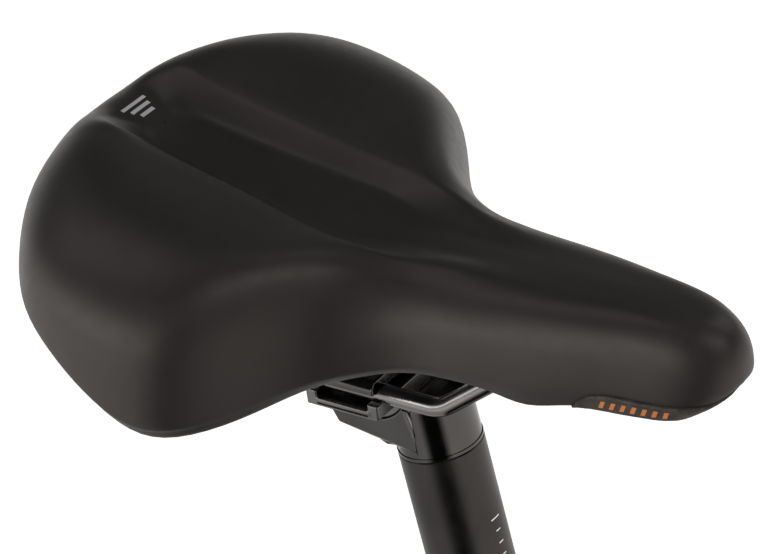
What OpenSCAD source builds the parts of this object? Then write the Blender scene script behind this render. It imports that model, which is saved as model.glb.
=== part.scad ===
// Comfort bicycle saddle on its seatpost: x points to the nose, y to the left, z up.
// The origin is the centre of the top end of the post tube. All sizes are in millimetres.

/* [Saddle] */
// Length of the saddle from its rear edge to the tip of its nose
saddle_length = 268; // [250:1:285]
// Greatest width of the saddle
saddle_width = 200; // [180:1:230]
// Distance from the rear edge of the saddle forward to the tilt axis of the clamp
clamp_from_rear = 126; // [120:1:132]
// Height of the saddle's datum plane over the tilt axis of the clamp
seat_rise = 20; // [18:0.5:24]
// Height scale of the saddle: the height of its sitting surface over the datum plane
seat_height = 50; // [46:0.5:54]
// Width scale of the channel, at the middle of its walls
channel_width = 36; // [30:1:44]
// Half of the run of each channel wall, between the channel's floor and its crest
channel_wall = 5; // [4:0.5:7]
// Width scale of the rounded shoulder
shoulder_width = 50; // [42:1:54]
// Distance by which the sides draw in towards the lower edge, at the nose
side_draw = 4; // [2:0.5:5]

/* [Cover, foam and shell] */
// Thickness of the cover
cover_wall = 1.2; // [0.8:0.1:1.6]
// Thickness of the foam where it runs down beside the shell
foam_side = 5; // [4:0.5:6]
// Wall thickness of the plastic shell
shell_wall = 2.5; // [2:0.1:3]
// Thickness of the nose bumper over the cover
bumper_wall = 1; // [0.8:0.1:1.6]
// Height of the bumper's upper edge over the datum plane, at the tip of the nose
bumper_top = 25; // [23:0.5:27]
// Length of the nose bumper, back from the tip of the nose
bumper_length = 52; // [46:1:60]
// Width of the bumper's lip under the cover
bumper_lip = 6; // [4:0.5:7]

/* [Rails] */
// Diameter of the steel rails
rail_d = 7; // [6.6:0.1:8]
// Spacing between the axes of the two rails in the clamp
rail_spacing = 44; // [42:0.5:46]
// Nose-up angle of the clamped stretch of the rails
rail_pitch = 8; // [4:0.5:10]
// Length of the straight stretch of the rails behind the tilt axis
rail_back_run = 38; // [35:1:42]
// Length of the straight stretch of the rails ahead of the tilt axis
rail_front_run = 37; // [35:1:40]
// Radius of the bends of the rails
rail_bend = 14; // [11:1:16]

/* [Nose shackle] */
// Distance of the shackle pin behind the tip of the nose
pin_from_nose = 36; // [34:1:40]
// Height of the shackle pin over the saddle's datum plane
pin_height = 14; // [12:0.5:15]
// Diameter of the shackle pin
pin_d = 5; // [4:0.5:6]
// Width of the tongue that the pin runs through
tongue_width = 13; // [11:0.5:14]
// Thickness of each cheek of the nose socket
cheek_wall = 3.5; // [3:0.25:4]
// Side gap between the tongue and each cheek
cheek_gap = 0.3; // [0.2:0.05:0.5]

/* [Suspension] */
// Diameter of the elastomer buffers
buffer_d = 28; // [24:1:30]
// Height of the elastomer buffers
buffer_height = 18; // [16:0.5:20]
// Spacing between the axes of the two buffers
buffer_spacing = 72; // [66:1:76]
// Distance of the buffers ahead of the rear edge
buffer_from_rear = 38; // [36:1:44]
// Thickness of the bridge that carries the buffers
bridge_height = 11; // [10:0.5:13]
// Height of the top of the bridge over the saddle's datum plane
bridge_top = 3; // [2:0.5:5]
// Diameter of the buffer screws
buffer_screw_d = 6; // [5:0.5:6]

/* [Clamp] */
// Length of the lower cradle along the rails
cradle_length = 31; // [28:1:32]
// Width of the lower cradle across the rails
cradle_width = 56; // [54:0.5:60]
// Depth of the cradle's side plate below the rail axis
cradle_depth = 8; // [7.5:0.25:9]
// Length of the upper clamp plate along the rails
upper_length = 24; // [20:1:28]
// Width of the upper clamp plate across the rails
upper_width = 54; // [53:0.5:58]
// Radius of the curved seat that sets the tilt of the saddle
tilt_seat_r = 17.5; // [17:0.25:18.5]
// Thickness of the web of the post head between seat and washer
seat_web = 4.9; // [4.5:0.1:6]
// Diameter of the clamp bolt
bolt_d = 8; // [6:0.5:8]
// Running clearance between the curved seat and the cradle, on the radius
seat_play = 0.1; // [0.05:0.01:0.1]
// Running clearance between the rails and their grooves, on the radius
groove_play = 0.05; // [0.02:0.01:0.1]
// Running clearance of the bolt and the pins in their bores, on the radius
bore_play = 0.05; // [0.02:0.01:0.1]

/* [Post] */
// Outer diameter of the seatpost
post_d = 31.6; // [30.9:0.1:34.9]
// Wall thickness of the seatpost
post_wall = 2.3; // [1.8:0.1:3]
// Length of the post tube
post_length = 300; // [250:10:400]
// Angle by which the post leans back from the vertical
post_lean = 16; // [14:0.5:18]
// Distance of the tilt axis behind the top centre of the post tube
clamp_setback = 22.5; // [21:0.5:25]
// Height of the tilt axis over the top centre of the post tube
clamp_height = 29; // [28:0.5:32]
// Width of the post head across its flat sides
head_width = 31; // [30.5:0.5:34]

/* [Hidden] */
$fn = 96;
eps = 0.01;
far = 120;

post_r = post_d / 2;
rail_r = rail_d / 2;
bolt_r = bolt_d / 2;
pin_r = pin_d / 2;
rail_y = rail_spacing / 2;
washer_seat_r = tilt_seat_r + seat_play + seat_web;
saddle_back_x = -clamp_setback - clamp_from_rear;
datum_z = clamp_height + seat_rise;

// The plan outline of one side, from the nose to the rear: percent of the length, then percent
// of the half width.
plan_points = [[100, 0], [98.8, 10], [94.5, 18], [86, 23], [75, 29], [65, 33], [56, 37.5],
    [47, 54.5], [37, 91.5], [26, 100], [14, 90.5], [5, 59.5], [0.8, 24], [0, 0]];
// Each profile below gives a value at stations in percent of the length from the rear edge. The
// heights and falls are in percent of the seat height, and the other values in percent of theirs.
// Height of the sitting surface along the middle, which is the floor of the channel at the rear
middle_height = [[0, 106], [9, 89], [17, 81], [28, 77], [39, 73], [48, 72.5], [56, 77], [73, 88],
    [88, 96], [100, 96]];
// Height of the two lobes over the floor of the channel
lobe_height = [[0, 0], [9, 22], [17, 27.5], [28, 25.5], [39, 21.5], [48, 16.5], [56, 9], [67, 1], [100, 0]];
// Half width of the channel, at the middle of its walls
channel_half = [[0, 84], [15, 97], [30, 103], [43, 112], [52, 96], [62, 60], [100, 20]];
// Fall of the sitting surface from the middle to the edge
crown_fall = [[0, 12], [19, 16.5], [37, 13], [56, 10], [75, 6.6], [100, 5.6]];
// Run of the rounded shoulder in plan
shoulder_run = [[0, 52], [19, 75], [37, 77], [54, 55], [75, 32], [100, 32]];
// Share of the height of the side that the rounded shoulder takes
shoulder_share = [[0, 0.78], [19, 0.84], [37, 0.85], [56, 0.81], [75, 0.75], [100, 0.74]];
// Height of the lower edge
edge_height = [[0, 56], [17, 24], [32, -20.5], [41, -20.5], [47, -7.5], [52, 1.5],
    [57, 9.5], [63, 15.5], [76, 14.5],
    [79, 14.5], [80.5, 22], [84, 23.8], [90, 26.5], [96, 30.5], [98.5, 38], [100, 45]];
// Distance by which the side draws in towards the lower edge
draw_in = [[0, 50], [37, 75], [56, 25], [75, 50], [92, 55], [100, 200]];
// Height of the middle of the shell, and its fall to the edge
shell_height = [[0, 76], [17, 62], [35, 48], [54, 48], [73, 56], [88, 62], [100, 72]];
shell_fall = [[0, 6], [19, 12], [37, 12], [54, 8], [75, 6], [100, 4]];
// Setback of the fan's centre line from the rear edge and from the tip of the nose
spine_rear = 30;
spine_nose = 24;
least_run = 4;
crown_power = 2.2;
// Share of the lobes' height that the channel walls take, where the rest is their swell, and the
// run of the swell as a share of the distance to the edge
wall_share = 0.32;
swell_share = 0.45;
shoulder_power = 2.2;

// Counts of the net: columns on one side, rows on the top and rows on the side
half_columns = 26;
columns = 2 * half_columns;
top_rows = 8;
side_rows = 2;
last_row = top_rows + side_rows;

// Value of a profile between its stations, as a smooth cubic
function span_at(profile, x, i = 0) =
    i >= len(profile) - 2 || x <= profile[i + 1][0] ? i : span_at(profile, x, i + 1);
function slope_at(profile, i) =
    let (a = max(i - 1, 0), b = min(i + 1, len(profile) - 1))
    (profile[b][1] - profile[a][1]) / (profile[b][0] - profile[a][0]);
function cubic(v0, v1, m0, m1, t) =
    v0 * (2 * t ^ 3 - 3 * t ^ 2 + 1) + m0 * (t ^ 3 - 2 * t ^ 2 + t)
    + v1 * (3 * t ^ 2 - 2 * t ^ 3) + m1 * (t ^ 3 - t ^ 2);
function station(x) = min(max(100 * x / saddle_length, 0), 100);
function value_at(profile, x) =
    let (
        s = station(x),
        i = span_at(profile, s),
        h = profile[i + 1][0] - profile[i][0],
        t = (s - profile[i][0]) / h
    )
    cubic(profile[i][1], profile[i + 1][1], h * slope_at(profile, i), h * slope_at(profile, i + 1), t);
function height_at(profile, x) = value_at(profile, x) / 100 * seat_height;
function channel_at(x) = value_at(channel_half, x) / 100 * channel_width / 2;
function ease(a, b, x) =
    let (t = min(max((x - a) / (b - a), 0), 1))
    t * t * (3 - 2 * t);

// Point of the plan outline at column i of 0 (nose) to half_columns (rear)
function plan_knot(i) =
    i < 0 ? [plan_points[1][0], -plan_points[1][1]]
    : i >= len(plan_points) ? [plan_points[len(plan_points) - 2][0], -plan_points[len(plan_points) - 2][1]]
    : plan_points[i];
function plan_point(i) =
    let (
        u = i / half_columns * (len(plan_points) - 1),
        k = min(floor(u), len(plan_points) - 2),
        a = plan_knot(k - 1),
        b = plan_knot(k),
        c = plan_knot(k + 1),
        d = plan_knot(k + 2),
        p = cubic(b, c, (c - a) / 2, (d - b) / 2, u - k)
    )
    [p[0] / 100 * saddle_length, p[1] / 100 * saddle_width / 2];

// A layer of the saddle is [inset, drop, rise, hard]: inset in plan, drop of its top,
// rise of its lower edge, and whether its top is the shell's or the sitting surface's.
cover_out = [0, 0, 0, false];
cover_in = [cover_wall, cover_wall, cover_wall, false];
shell_out = [cover_wall + foam_side, 0, cover_wall, true];
shell_in = [cover_wall + foam_side + shell_wall, shell_wall, cover_wall, true];
bumper_out = [-bumper_wall, -bumper_wall, -bumper_wall, false];

// Rise of the sitting surface from the channel's floor, as a share of the lobes' height: the wall
// of the channel and the swell of the lobe beside it
function lobe_rise(x, y, reach) =
    let (
        foot = channel_at(x) - channel_wall,
        swell = min(max((abs(y) - foot) / (swell_share * reach), 0), 1)
    )
    wall_share * ease(foot, foot + 2 * channel_wall, abs(y)) + (1 - wall_share) * (1 - (1 - swell) ^ 2);

// Height of the top of a layer at (x, y), where reach is the distance of the edge from the middle
function top_height(x, y, reach, layer) =
    let (out = min(abs(y) / reach, 1.2))
    layer[3]
    ? height_at(shell_height, x) - height_at(shell_fall, x) * out ^ 2 - layer[1]
    : height_at(middle_height, x) + height_at(lobe_height, x) * lobe_rise(x, y, reach)
        - height_at(crown_fall, x) * out ^ crown_power - layer[1];

// Distance from the middle of row k, where the first rows follow the floor edge, the wall and
// the crest of the channel and the others close up towards the edge
function row_reach(k, reach, lean, x) =
    let (
        lines = [for (j = [1:3])
            let (line = (channel_at(x) + (j - 2) * channel_wall) / max(lean, 0.05))
            max(min(line, 0.2 * j * reach), 0.08 * j * reach)]
    )
    k == 0 ? 0
    : k <= 3 ? lines[k - 1]
    : lines[2] + (reach - lines[2]) * sin(90 * (k - 3) / (top_rows - 3)) ^ 0.9;

// Point of a layer in column i and row k
function layer_point(i, k, layer) =
    let (
        side = i <= half_columns ? 1 : -1,
        edge = plan_point(i <= half_columns ? i : columns - i),
        middle = [spine_rear + (saddle_length - spine_nose - spine_rear) * edge[0] / saddle_length, 0],
        full = norm(edge - middle),
        ray = (edge - middle) / full,
        reach = full - layer[0],
        rim = middle + ray * reach,
        width = value_at(shoulder_run, edge[0]) / 100 * shoulder_width,
        run = max(min(width, full * 0.9) - max(layer[0], 0), least_run),
        rim_top = top_height(rim[0], rim[1], reach, layer),
        low = height_at(edge_height, edge[0]) + layer[2],
        fall = (rim_top - low) * value_at(shoulder_share, edge[0]),
        down = max(k - top_rows, 0) / side_rows,
        s = row_reach(min(k, top_rows), reach, ray[1], middle[0]),
        over = min(max((s - reach + run) / run, 0), 1),
        place = middle + ray * (s - value_at(draw_in, edge[0]) / 100 * side_draw * down ^ 2),
        z = k <= top_rows
            ? top_height(place[0], place[1], reach, layer) - fall * (1 - (1 - over ^ shoulder_power) ^ (1 / shoulder_power))
            : rim_top - fall + (low - rim_top + fall) * down
    )
    [place[0], side * place[1], z];
function layer_row(k, layer) = [for (i = [0:columns - 1]) layer_point(i, k, layer)];
function rows_down(layer) = [for (k = [0:last_row]) layer_row(k, layer)];
function rows_up(layer) = [for (k = [last_row:-1:0]) layer_row(k, layer)];

// Row of plan points at the lower edge, moved in towards the middle
function edge_row(in, layer) = [for (i = [0:columns - 1])
    let (
        p = layer_point(i, last_row, layer),
        q = layer_point(i, top_rows, layer),
        c = layer_point(i, 0, layer),
        ray = [q[0] - c[0], q[1] - c[1]] / norm([q[0] - c[0], q[1] - c[1]])
    )
    [p[0] - ray[0] * in, p[1] - ray[1] * in]];

// Closed solid over rows of points whose first and last rows are folded along the middle. The
// rows that come back up split their squares the other way, so that layers meet face to face.
function fold(i) = i <= half_columns ? i : columns - i;
module net(rows) {
    last = len(rows) - 1;
    head = half_columns + 1;
    points = concat(
        [for (i = [0:half_columns]) rows[0][i]],
        [for (k = [1:last - 1]) for (p = rows[k]) p],
        [for (i = [0:half_columns]) rows[last][i]]
    );
    function spot(k, i) =
        let (j = i % columns)
        k == 0 ? fold(j)
        : k == last ? head + (last - 1) * columns + fold(j)
        : head + (k - 1) * columns + j;
    function split(a, b, c, d, back) = back ? [[a, b, d], [b, c, d]] : [[a, b, c], [a, c, d]];
    faces = [for (k = [0:last - 1]) for (i = [0:columns - 1])
        for (face = split(spot(k, i), spot(k, i + 1), spot(k + 1, i + 1), spot(k + 1, i), k > last_row))
            if (face[0] != face[1] && face[1] != face[2] && face[0] != face[2]) face];
    polyhedron(points, faces);
}

// Inner row of the cover's hem, under the shell
function hem_row() = [for (p = layer_row(last_row, shell_in)) p - [0, 0, cover_wall]];

// Solid that fills a layer down to its lower edge
module filled(layer, hem = []) {
    floor_row = [for (i = [0:columns - 1])
        let (p = layer_point(i, 0, layer), q = layer_point(i, last_row, layer))
        [p[0], 0, q[2]]];
    net(concat(rows_down(layer), hem, [floor_row]));
}

// Frames of reference
module saddle_frame() {
    translate([saddle_back_x, 0, datum_z]) children();
}
module clamp_frame() {
    translate([-clamp_setback, 0, clamp_height]) children();
}
module rail_frame() {
    clamp_frame() rotate([0, -rail_pitch, 0]) children();
}
module post_frame() {
    rotate([0, -post_lean, 0]) children();
}

// Helpers
module box(low, high) {
    translate(low) cube(high - low);
}
module across(r, width) {
    rotate([90, 0, 0]) cylinder(r = r, h = width, center = true);
}
module along(r, length) {
    rotate([0, 90, 0]) cylinder(r = r, h = length, center = true);
}
module both_sides() {
    children();
    mirror([0, 1, 0]) children();
}
module rod(a, b, r) {
    d = b - a;
    translate(a) rotate([0, acos(d[2] / norm(d)), atan2(d[1], d[0])]) cylinder(r = r, h = norm(d));
}

// Round rod along a path with a bend of the given radius at each inner point. The bends are
// thinner than the straight runs by a hair, which makes their joins plain steps.
bend_step = 0.02;
bend_lap = 0.05;
function unit(v) = v / norm(v);
function turn_angle(path, i) =
    let (a = unit(path[i] - path[i - 1]), b = unit(path[i + 1] - path[i]))
    acos(a * b);
function trim(path, i, bend) =
    i <= 0 || i >= len(path) - 1 ? 0 : bend * tan(turn_angle(path, i) / 2);
module bent_rod(path, r, bend) {
    for (i = [0:len(path) - 2]) {
        d = unit(path[i + 1] - path[i]);
        back = i == 0 ? 0 : trim(path, i, bend) - bend_lap;
        front = i == len(path) - 2 ? 0 : trim(path, i + 1, bend) - bend_lap;
        rod(path[i] + d * back, path[i + 1] - d * front, r);
    }
    for (i = [1:len(path) - 2]) {
        a = unit(path[i] - path[i - 1]);
        b = unit(path[i + 1] - path[i]);
        n = unit(cross(a, b));
        x = cross(a, n);
        start = path[i] - a * trim(path, i, bend);
        translate(start - x * bend)
            rotate([atan2(a[2], n[2]), -asin(x[2]), atan2(x[1], x[0])])
                rotate_extrude(angle = turn_angle(path, i)) translate([bend, 0]) circle(r = r - bend_step);
    }
}

// Places on the rails, in the saddle frame
bridge_wall = 3.5;
tilt_axis = [clamp_from_rear, 0, -seat_rise];
function on_rail(run) = tilt_axis + [run * cos(rail_pitch), rail_y, run * sin(rail_pitch)];
pin_x = saddle_length - pin_from_nose;
block_length = 22;
block_from_pin = 8;
block_wall = 1.5;
block_below = 6;
block_above = 5;
block_rail_y = 7.5;
block_front = pin_x - block_from_pin;
block_back = block_front - block_length;
block_half = block_rail_y + rail_r + block_wall;
bridge_half_length = 12;
bridge_end_r = 15;
bridge_rail_y = buffer_spacing / 2 - buffer_screw_d / 2 - rail_r - bridge_wall;
bridge_rail_z = bridge_top - bridge_height / 2;
rail_rise_start = 6;
rail_nose_dip = 1.5;
knee_run = 17;
knee_out = 7.5;
knee_drop = 9;
rail_path = [
    [buffer_from_rear - bridge_half_length + bridge_wall, bridge_rail_y, bridge_rail_z],
    [buffer_from_rear + bridge_half_length + rail_rise_start, bridge_rail_y, bridge_rail_z],
    on_rail(-rail_back_run),
    on_rail(rail_front_run),
    [block_back - knee_run, block_rail_y + knee_out, pin_height - knee_drop],
    [block_back + 3, block_rail_y, pin_height - rail_nose_dip],
    [block_front - block_wall, block_rail_y, pin_height]
];
module rail_shape(r) {
    bent_rod(rail_path, r, rail_bend);
}

// Post
head_r = post_r - 0.35;
collar_height = 1.5;
spigot_depth = 30;
// Side profile of the arm of the head, from the tilt axis: rear, underside, front, top
arm_profile = [[-14, -15.5], [-14, -20.5], [-10.5, -25.5], [0, -31.5], [14, -34], [24, -34],
    [19.5, -8], [16, -8]];
arm_bevel = 7;
arm_side_depth = 24.5;
head_top = -7.5;
pitch_low = -4;
pitch_high = 14;
pocket_half = 8;
pocket_gap = 1;
washer_half = 7.5;
washer_wall = 3;
washer_horn = 1.2;
washer_depth = washer_seat_r + washer_wall;
bolt_head_r = 6.5;
bolt_head_height = 6.5;
bolt_gap = 0.3;

module post_tube() {
    color("#1d1d1e") post_frame() difference() {
        translate([0, 0, -post_length]) cylinder(r = post_r, h = post_length);
        translate([0, 0, -post_length - 1]) cylinder(r = post_r - post_wall, h = post_length + 2);
    }
}

module head_arm() {
    clamp_frame() intersection() {
        rotate([90, 0, 0]) linear_extrude(head_width, center = true) polygon(arm_profile);
        rotate([90, 0, 90]) linear_extrude(2 * far, center = true)
            polygon([[-head_width / 2, 0], [-head_width / 2, -arm_side_depth],
                [-head_width / 2 + arm_bevel, -arm_side_depth - arm_bevel],
                [-head_width / 2 + arm_bevel, -far], [head_width / 2 - arm_bevel, -far],
                [head_width / 2 - arm_bevel, -arm_side_depth - arm_bevel],
                [head_width / 2, -arm_side_depth], [head_width / 2, 0]]);
    }
}

module post_head() {
    swing_low = washer_seat_r * tan(pitch_low) - bolt_r - bolt_gap;
    swing_high = washer_seat_r * tan(pitch_high) + bolt_r + bolt_gap;
    pocket_depth = washer_depth + bolt_head_height + pocket_gap * 3;
    pocket_low = pocket_depth * sin(pitch_low) - washer_half - pocket_gap;
    pocket_high = pocket_depth * sin(pitch_high) + washer_half + pocket_gap;
    color("#232324") difference() {
        union() {
            intersection() {
                head_arm();
                post_frame() box([-far, -far, collar_height], [far, far, far]);
            }
            post_frame() cylinder(r = post_r, h = collar_height);
            intersection() {
                post_frame() cylinder(r = head_r, h = clamp_height + post_r);
                clamp_frame() box([-far, -far, -far], [far, far, head_top]);
            }
            post_frame() translate([0, 0, -spigot_depth])
                cylinder(r = post_r - post_wall, h = spigot_depth + eps);
        }
        clamp_frame() across(tilt_seat_r + seat_play, head_width + 2 * post_r);
        clamp_frame() box([swing_low, -bolt_r - bolt_gap, -far / 2], [swing_high, bolt_r + bolt_gap, 0]);
        clamp_frame() difference() {
            box([pocket_low, -pocket_half, -pocket_depth], [pocket_high, pocket_half, -washer_seat_r * 0.6]);
            across(washer_seat_r, 2 * far);
        }
    }
}

module post_plug() {
    plug_wall = 2;
    plug_depth = 10;
    color("#161616") post_frame() translate([0, 0, -post_length]) {
        translate([0, 0, -plug_wall]) cylinder(r = post_r, h = plug_wall);
        cylinder(r = post_r - post_wall, h = plug_depth);
    }
}

// Clamp, in the rail frame
ear_length = 4.6;
ear_rise = 2;
ear_wall = 2.5;
slot_depth = 1;
slot_low = 0.6;
slot_high = 1.4;
side_top = 5;
core_top = 1;
hub_half = 15;
plate_offset = -1.5;

module lower_cradle() {
    end = cradle_length / 2;
    inner = rail_y - rail_r - ear_wall;
    color("#5b5b5c") rail_frame() difference() {
        union() {
            intersection() {
                across(tilt_seat_r, 2 * hub_half);
                box([-end, -hub_half, -far], [end, hub_half, -core_top]);
            }
            translate([plate_offset, 0, 0]) {
                box([-end, -cradle_width / 2, -cradle_depth], [end, cradle_width / 2, -side_top]);
                both_sides() {
                    box([-end, inner, -cradle_depth], [-end + ear_length, cradle_width / 2, -ear_rise]);
                    box([end - ear_length, inner, -cradle_depth], [end, cradle_width / 2, -ear_rise]);
                }
            }
        }
        both_sides() translate([plate_offset, rail_y, 0]) along(rail_r + groove_play, cradle_length + 2);
        both_sides() translate([plate_offset, 0, -cradle_depth])
            box([-end + ear_length, cradle_width / 2 - slot_depth, slot_low],
                [end - ear_length, cradle_width / 2 + slot_depth, slot_high]);
        translate([0, 0, -far / 2]) cylinder(r = bolt_r + bore_play, h = far);
    }
}

module bolt_washer() {
    color("#8d8d90") rail_frame() difference() {
        box([-washer_half, -washer_half, -washer_depth], [washer_half, washer_half, -washer_seat_r + washer_horn]);
        across(washer_seat_r + seat_play, 2 * far);
        translate([0, 0, -far / 2]) cylinder(r = bolt_r + bore_play, h = far);
    }
}

nut_bottom = 4.5;
nut_height = 6.5;
nut_across = 13;
bolt_end = 13;
module clamp_bolt() {
    key_across = 6;
    key_depth = 4;
    color("#3c3c3e") rail_frame() difference() {
        union() {
            translate([0, 0, -washer_depth]) cylinder(r = bolt_r, h = washer_depth + bolt_end);
            translate([0, 0, -washer_depth - bolt_head_height]) cylinder(r = bolt_head_r, h = bolt_head_height);
        }
        translate([0, 0, -washer_depth - bolt_head_height - 1])
            cylinder(d = key_across / cos(30), h = key_depth + 1, $fn = 6);
    }
}

upper_base = 0.9;
upper_edge = 3.6;
upper_top = 6.2;
upper_boss = 9;
boss_half = 10.5;
boss_slope = 2.5;
nut_play = 0.05;
module upper_clamp() {
    half = upper_width / 2;
    color("#2a2a2b") rail_frame() difference() {
        rotate([90, 0, 90]) linear_extrude(upper_length, center = true)
            polygon([[-half, upper_base], [half, upper_base], [half, upper_edge], [half - boss_slope, upper_top],
                [boss_half + boss_slope, upper_top], [boss_half, upper_boss], [-boss_half, upper_boss],
                [-boss_half - boss_slope, upper_top], [-half + boss_slope, upper_top], [-half, upper_edge]]);
        both_sides() translate([0, rail_y, 0]) along(rail_r + groove_play, upper_length + 2);
        translate([0, 0, -1]) cylinder(r = bolt_r + bolt_gap, h = upper_boss + 2);
        translate([0, 0, nut_bottom]) cylinder(d = (nut_across + 2 * nut_play) / cos(30), h = upper_boss, $fn = 6);
    }
}

module clamp_nut() {
    color("#9a9a9c") rail_frame() translate([0, 0, nut_bottom]) difference() {
        cylinder(d = nut_across / cos(30), h = nut_height, $fn = 6);
        translate([0, 0, -1]) cylinder(r = bolt_r + bore_play, h = nut_height + 2);
    }
}

// Rails and what they carry, in the saddle frame
module rail_left() {
    color("#19191a") saddle_frame() rail_shape(rail_r);
}

module rail_right() {
    color("#19191a") saddle_frame() mirror([0, 1, 0]) rail_shape(rail_r);
}

tongue_r = pin_r + 2.5;
module nose_block() {
    color("#202021") saddle_frame() difference() {
        union() {
            box([block_back, -block_half, pin_height - block_below], [block_front, block_half, pin_height + block_above]);
            box([block_front - eps, -tongue_width / 2, pin_height - tongue_r],
                [pin_x, tongue_width / 2, pin_height + tongue_r]);
            translate([pin_x, 0, pin_height]) across(tongue_r, tongue_width);
        }
        both_sides() rail_shape(rail_r);
        translate([pin_x, 0, pin_height]) across(pin_r + bore_play, tongue_width + 2);
    }
}

cheek_r = pin_r + 3.5;
cheek_out = tongue_width / 2 + cheek_gap + cheek_wall;
module nose_pin() {
    color("#9a9a9c") saddle_frame() translate([pin_x, 0, pin_height]) across(pin_r, 2 * cheek_out);
}

plate_bottom = pin_height + cheek_r + 1;
socket_roof = 1.2;
module nose_socket() {
    color("#202021") saddle_frame() difference() {
        union() {
            both_sides() box([pin_x - cheek_r, cheek_out - cheek_wall, pin_height],
                [pin_x + cheek_r, cheek_out, plate_bottom]);
            both_sides() translate([pin_x, cheek_out - cheek_wall / 2, pin_height]) across(cheek_r, cheek_wall);
            box([pin_x - cheek_r, -cheek_out, plate_bottom - socket_roof], [pin_x + cheek_r, cheek_out, plate_bottom]);
        }
        translate([pin_x, 0, pin_height]) across(pin_r, 2 * cheek_out + 2);
        socket_screw_places() translate([0, 0, -socket_roof - 1]) cylinder(r = screw_r, h = socket_roof + 2);
    }
}

screw_r = 1.5;
screw_bite = 3;
screw_offset = 4;
module socket_screw_places() {
    for (side = [-1, 1]) translate([pin_x + side * screw_offset, 0, plate_bottom]) children();
}

module socket_screws() {
    color("#9a9a9c") saddle_frame() socket_screw_places() {
        translate([0, 0, -socket_roof]) cylinder(r = screw_r, h = socket_roof + screw_bite);
    }
}

plate_behind = 2;
plate_ahead = 4;
seat_margin = 1;
module nose_plate() {
    color("#161616") saddle_frame() difference() {
        intersection() {
            filled(shell_in);
            box([block_back - plate_behind, -far, plate_bottom], [pin_x + cheek_r + plate_ahead, far, far]);
        }
        socket_screw_places() translate([0, 0, -1]) cylinder(r = screw_r, h = screw_bite + 1);
    }
}

module rear_bridge() {
    half = buffer_spacing / 2;
    color("#202021") saddle_frame() difference() {
        union() {
            box([buffer_from_rear - bridge_half_length, -half, bridge_top - bridge_height],
                [buffer_from_rear + bridge_half_length, half, bridge_top]);
            both_sides() translate([buffer_from_rear, half, bridge_top - bridge_height])
                cylinder(r = bridge_end_r, h = bridge_height);
        }
        both_sides() rail_shape(rail_r);
        both_sides() translate([buffer_from_rear, half, bridge_top - bridge_height - 1])
            cylinder(r = buffer_screw_d / 2, h = bridge_height + 2);
    }
}

screw_reach = 6;
screw_head_r = buffer_screw_d / 2 + 2.5;
screw_head_height = 3;
screw_key = 4;
spigot_reach = 5;
spigot_play = 0.3;
module buffer_screws() {
    color("#9a9a9c") saddle_frame() both_sides()
        translate([buffer_from_rear, buffer_spacing / 2, bridge_top - bridge_height]) difference() {
            union() {
                cylinder(r = buffer_screw_d / 2, h = bridge_height + screw_reach);
                translate([0, 0, -screw_head_height]) cylinder(r = screw_head_r, h = screw_head_height);
            }
            translate([0, 0, -screw_head_height - 1]) cylinder(d = screw_key / cos(30), h = screw_head_height, $fn = 6);
        }
}

buffer_groove = 3.5;
module buffer() {
    ring = buffer_d / 2;
    waist = ring - buffer_groove;
    h = buffer_height;
    difference() {
        rotate_extrude() polygon([[0, 0], [ring, 0], [ring, 0.2 * h], [waist, 0.3 * h], [ring, 0.4 * h],
            [ring, 0.6 * h], [waist, 0.7 * h], [ring, 0.8 * h], [ring, h], [0, h]]);
        translate([0, 0, -1]) cylinder(r = buffer_screw_d / 2, h = h + 2);
    }
}

module buffer_left() {
    color("#4c4c4f") saddle_frame() translate([buffer_from_rear, buffer_spacing / 2, bridge_top]) buffer();
}

module buffer_right() {
    color("#4c4c4f") saddle_frame() translate([buffer_from_rear, -buffer_spacing / 2, bridge_top]) buffer();
}

// Shell, foam and cover, in the saddle frame
module buffer_seats() {
    seat_bottom = bridge_top + buffer_height;
    color("#161616") saddle_frame() both_sides() {
        intersection() {
            filled(shell_in);
            translate([buffer_from_rear, buffer_spacing / 2, seat_bottom]) cylinder(r = buffer_d / 2 + seat_margin, h = far);
        }
        translate([buffer_from_rear, buffer_spacing / 2, seat_bottom - spigot_reach])
            cylinder(r = buffer_screw_d / 2 - spigot_play, h = spigot_reach + eps);
    }
}

module shell() {
    color("#161616") saddle_frame() net(concat(rows_down(shell_out), rows_up(shell_in)));
}

module foam_pad() {
    color("#77777a") saddle_frame() net(concat(rows_down(cover_in), rows_up(shell_out)));
}

module cover() {
    color("#2b2a2a") saddle_frame()
        net(concat(rows_down(cover_out), [hem_row()], [layer_row(last_row, shell_in)],
            [layer_row(last_row, shell_out)], rows_up(cover_in)));
}

// Upper edge of the bumper: percent of its length back from the tip of the nose, then percent of
// its height there
bumper_edge = [[0, 100], [5, 99], [13, 91], [34, 84], [60, 81], [76, 79], [88, 71], [96, 55], [100, 38]];
module nose_bumper() {
    color("#3a342f") saddle_frame() difference() {
        intersection() {
            filled(bumper_out);
            rotate([90, 0, 0]) linear_extrude(2 * far, center = true)
                polygon(concat([for (p = bumper_edge)
                    [saddle_length - p[0] / 100 * bumper_length, p[1] / 100 * bumper_top]],
                    [[saddle_length - bumper_length, -bumper_top], [saddle_length + bumper_top, -bumper_top],
                        [saddle_length + bumper_top, bumper_top]]));
        }
        filled(cover_out, [hem_row()]);
        translate([0, 0, -far]) linear_extrude(2 * far)
            polygon(edge_row(bumper_lip, cover_out));
    }
}

post_tube();
post_head();
post_plug();
lower_cradle();
bolt_washer();
clamp_bolt();
upper_clamp();
clamp_nut();
rail_left();
rail_right();
nose_block();
nose_pin();
rear_bridge();
buffer_screws();
buffer_left();
buffer_right();
shell();
foam_pad();
cover();
nose_bumper();
nose_plate();
nose_socket();
socket_screws();
buffer_seats();
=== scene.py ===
"""Comfort bicycle saddle on its seatpost: finished pieces, materials and a plain studio."""
import math

import bmesh
import bpy
from mathutils import Matrix, Vector
from mathutils.bvhtree import BVHTree


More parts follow.
